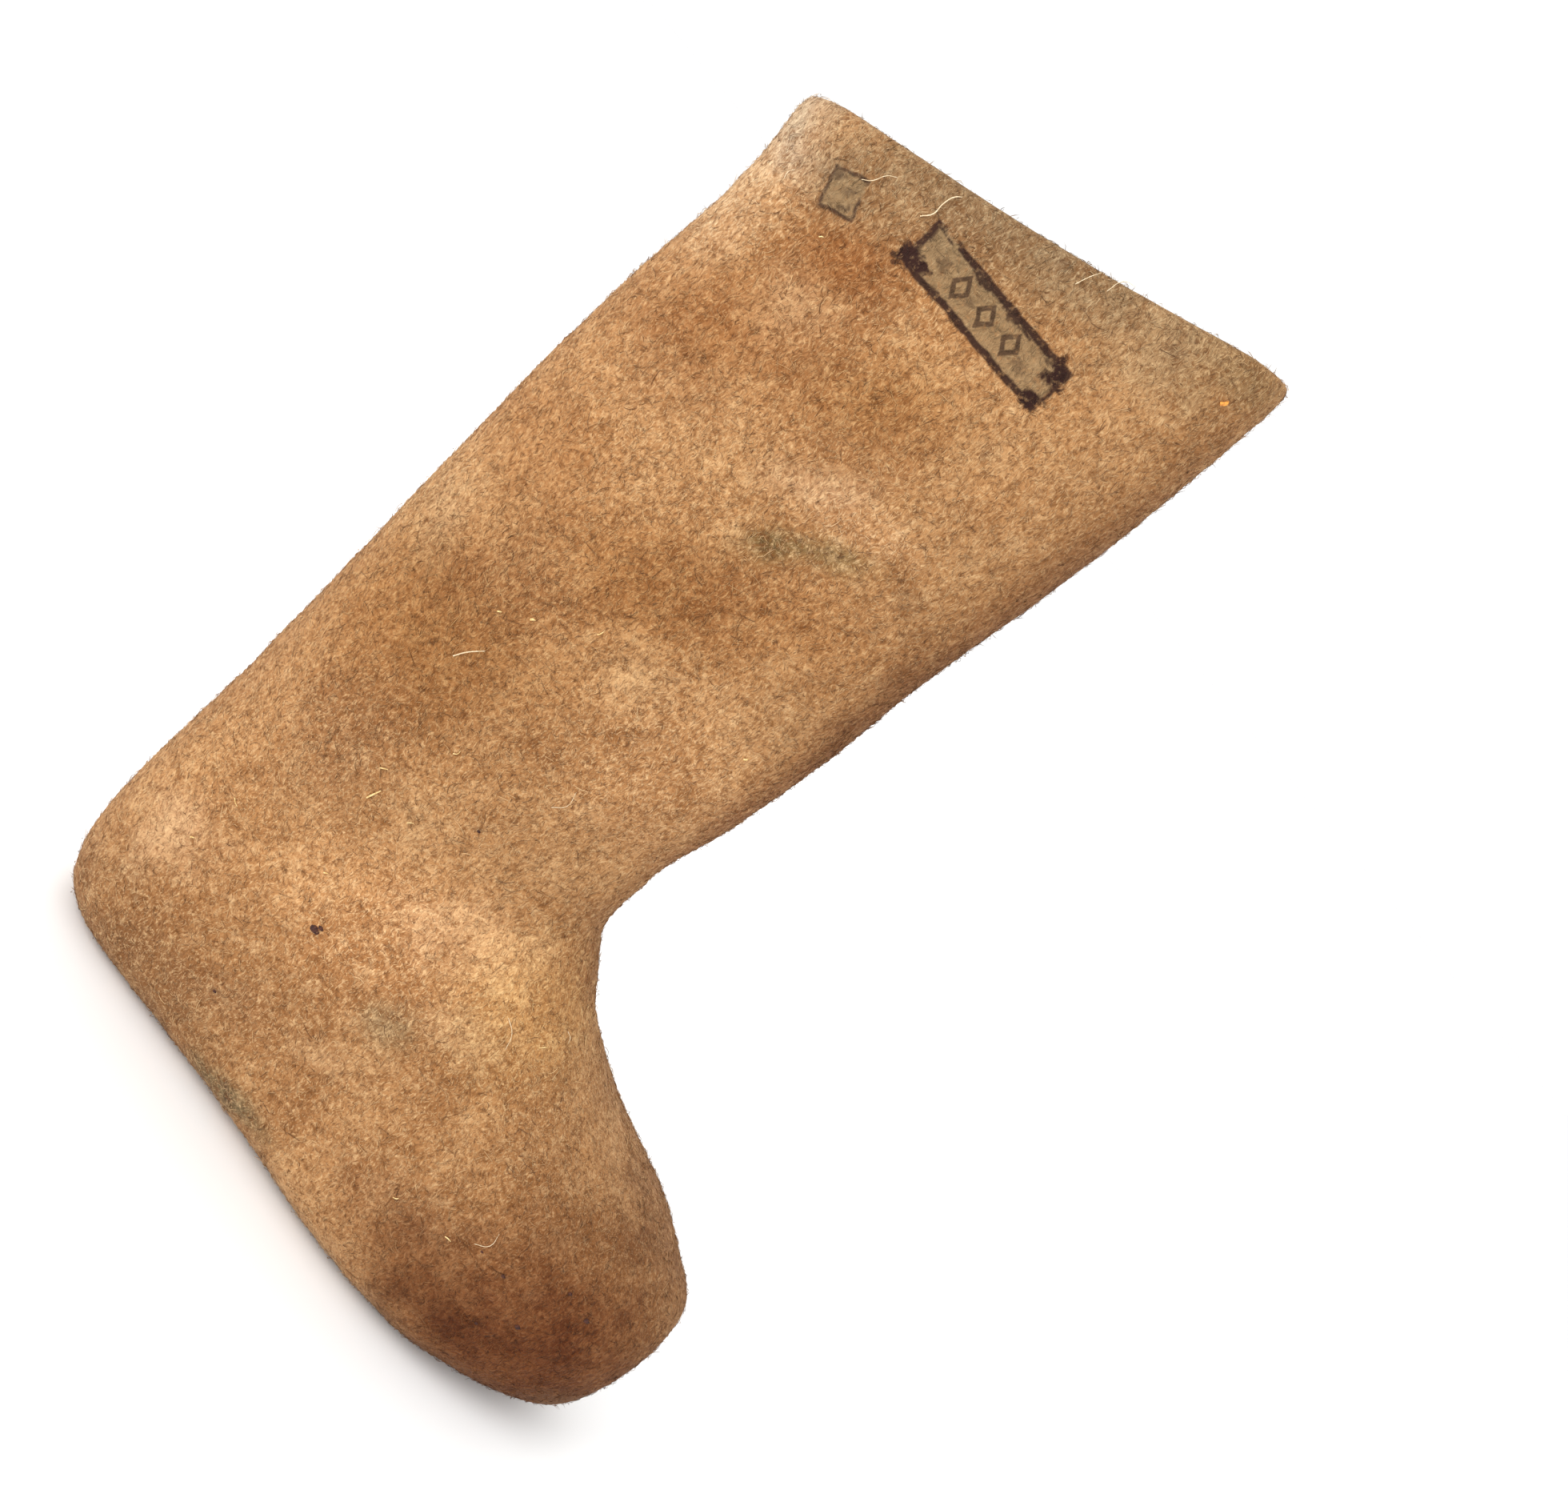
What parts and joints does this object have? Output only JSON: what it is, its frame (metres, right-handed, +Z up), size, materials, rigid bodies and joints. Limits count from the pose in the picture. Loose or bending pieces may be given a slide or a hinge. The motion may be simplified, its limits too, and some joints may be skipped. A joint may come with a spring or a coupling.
{
  "type": "valenki felt boot",
  "caption": "Knee-length boot felted whole from wool, with a rounded toe, a soft sole without a heel block, a slanting collar and a loose felt insole.",
  "frame": {"origin": "on the floor, under the middle of the boot's bounding box, which stands on its sole", "axes": "+X towards the toe, +Z up along the shaft, Y across the boot, which is alike on both sides"},
  "size_m": [0.3119, 0.1156, 0.4642],
  "materials": {
    "felt": "matte",
    "insole_felt": "matte"
  },
  "bodies": {
    "root": {"felt_boot": "felt", "insole": "insole_felt"}
  },
  "joints": []
}
